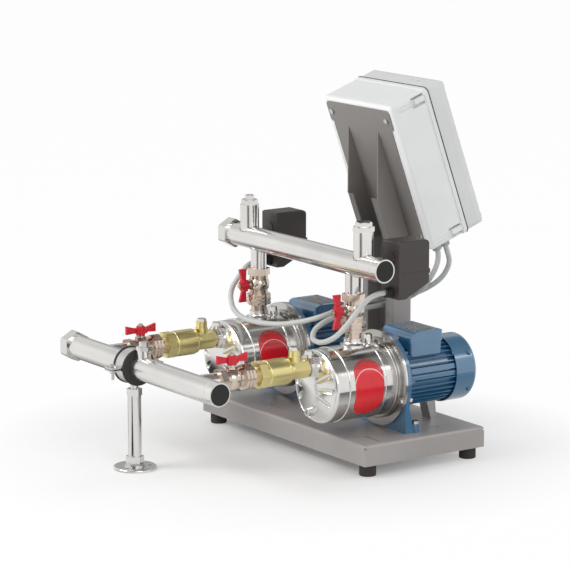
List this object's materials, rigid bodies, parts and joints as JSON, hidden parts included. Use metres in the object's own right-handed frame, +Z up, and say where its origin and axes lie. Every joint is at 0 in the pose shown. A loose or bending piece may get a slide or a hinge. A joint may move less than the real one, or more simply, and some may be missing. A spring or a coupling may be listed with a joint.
{
  "type": "booster pump set",
  "caption": "Booster pump set on a folded sheet tray: horizontal pumps between suction and delivery manifolds with ball and check valves, pressure switches and a tilted control panel.",
  "frame": {"origin": "middle of the object's bounding box, on the floor", "axes": "+X along the manifolds towards their open ends, +Y from the suction manifold towards the motors and the panel, +Z up"},
  "size_m": [0.59, 0.8234, 0.7554],
  "materials": {
    "tray_steel": "satin grey sheet",
    "black_rubber": "matte",
    "panel_steel": "satin grey sheet",
    "zinc": "zinc plated",
    "panel_plastic": "light grey, fine grain",
    "device_plastic": "dark grey",
    "terminal_plastic": "pale grey",
    "gland_plastic": "mid grey",
    "stainless": "polished tube",
    "nickel": "nickel plated brass",
    "plug_plastic": "black",
    "seat_plastic": "white",
    "brass": "cast and machined",
    "casing_steel": "pressed polished stainless",
    "motor_paint": "semi-gloss blue",
    "winding": "lacquered copper",
    "shaft_steel": "ground",
    "switch_plastic": "dark grey grain",
    "cable_sheath": "pale grey sheath",
    "red_plastic": "red",
    "fan_plastic": "black"
  },
  "bodies": {
    "set": {"base_tray": "tray_steel", "base_feet": "black_rubber", "panel_column": "panel_steel", "panel_bracket": "panel_steel", "frame_bolts": "zinc", "enclosure_body": "panel_plastic", "mounting_plate": "zinc", "contactors": "device_plastic", "terminal_strip": "terminal_plastic", "cable_glands": "gland_plastic", "suction_manifold": "stainless", "delivery_manifold": "stainless", "end_caps": "nickel", "end_plugs": "plug_plastic", "pipe_plugs": "nickel", "pipe_nipples": "nickel", "valve_bodies": "nickel", "union_nuts": "nickel", "valve_seats": "seat_plastic", "check_valves": "brass", "pump_casings": "casing_steel", "clamp_rings": "casing_steel", "diffusers": "stainless", "pump_bolts": "zinc", "motor_brackets": "motor_paint", "motor_frames": "motor_paint", "fan_covers": "motor_paint", "terminal_boxes": "motor_paint", "stators": "winding", "bearings": "shaft_steel", "pressure_switches": "switch_plastic", "cable_a": "cable_sheath", "cable_b": "cable_sheath", "support_pole": "zinc", "pipe_clamp": "zinc", "clamp_liner": "black_rubber", "hinge_pins": "zinc", "spring_a": "stainless", "spring_b": "stainless"},
    "lid": {"enclosure_lid": "panel_plastic", "lid_gasket": "black_rubber", "lid_screws": "gland_plastic", "lid_fittings": "device_plastic"},
    "main_switch": {"main_switch_knob": "red_plastic"},
    "suction_valve_a": {"suction_handle_a": "red_plastic", "suction_ball_a": "nickel"},
    "suction_valve_b": {"suction_handle_b": "red_plastic", "suction_ball_b": "nickel"},
    "delivery_valve_a": {"delivery_handle_a": "red_plastic", "delivery_ball_a": "nickel"},
    "delivery_valve_b": {"delivery_handle_b": "red_plastic", "delivery_ball_b": "nickel"},
    "pump_rotor_a": {"rotor_a": "shaft_steel", "impellers_a": "stainless", "cooling_fan_a": "fan_plastic"},
    "pump_rotor_b": {"rotor_b": "shaft_steel", "impellers_b": "stainless", "cooling_fan_b": "fan_plastic"},
    "check_poppet_a": {"poppet_a": "brass"},
    "check_poppet_b": {"poppet_b": "brass"}
  },
  "joints": [
    {"name": "lid_hinge", "type": "hinge", "parent": "set", "child": "lid", "pos_m": [-0.1275, 0.31178, 0.58877], "axis": [0, -0.342, 0.9397], "range_deg": [0, 110]},
    {"name": "main_switch_turn", "type": "hinge", "parent": "lid", "child": "main_switch", "pos_m": [0, 0.35795, 0.64814], "axis": [0, 0.9397, 0.342], "range_deg": [0, 90]},
    {"name": "suction_valve_a_turn", "type": "hinge", "parent": "set", "child": "suction_valve_a", "pos_m": [0.17, -0.25473, 0.25], "axis": [0, 0, 1], "range_deg": [0, 90]},
    {"name": "suction_valve_b_turn", "type": "hinge", "parent": "set", "child": "suction_valve_b", "pos_m": [-0.17, -0.25473, 0.25], "axis": [0, 0, 1], "range_deg": [0, 90]},
    {"name": "delivery_valve_a_turn", "type": "hinge", "parent": "set", "child": "delivery_valve_a", "pos_m": [0.17, -0.00173, 0.315], "axis": [0, -1, 0], "range_deg": [0, 90]},
    {"name": "delivery_valve_b_turn", "type": "hinge", "parent": "set", "child": "delivery_valve_b", "pos_m": [-0.17, -0.00173, 0.315], "axis": [0, -1, 0], "range_deg": [0, 90]},
    {"name": "pump_a_spin", "type": "hinge", "parent": "set", "child": "pump_rotor_a", "pos_m": [0.17, 0.12827, 0.169], "axis": [0, 1, 0], "continuous": true},
    {"name": "pump_b_spin", "type": "hinge", "parent": "set", "child": "pump_rotor_b", "pos_m": [-0.17, 0.12827, 0.169], "axis": [0, 1, 0], "continuous": true},
    {"name": "check_a_lift", "type": "slide", "parent": "set", "child": "check_poppet_a", "axis": [0, 1, 0], "range_m": [0, 0.008], "stiffness_N_per_m": 300, "deforming": ["spring_a"]},
    {"name": "check_b_lift", "type": "slide", "parent": "set", "child": "check_poppet_b", "axis": [0, 1, 0], "range_m": [0, 0.008], "stiffness_N_per_m": 300, "deforming": ["spring_b"]}
  ]
}
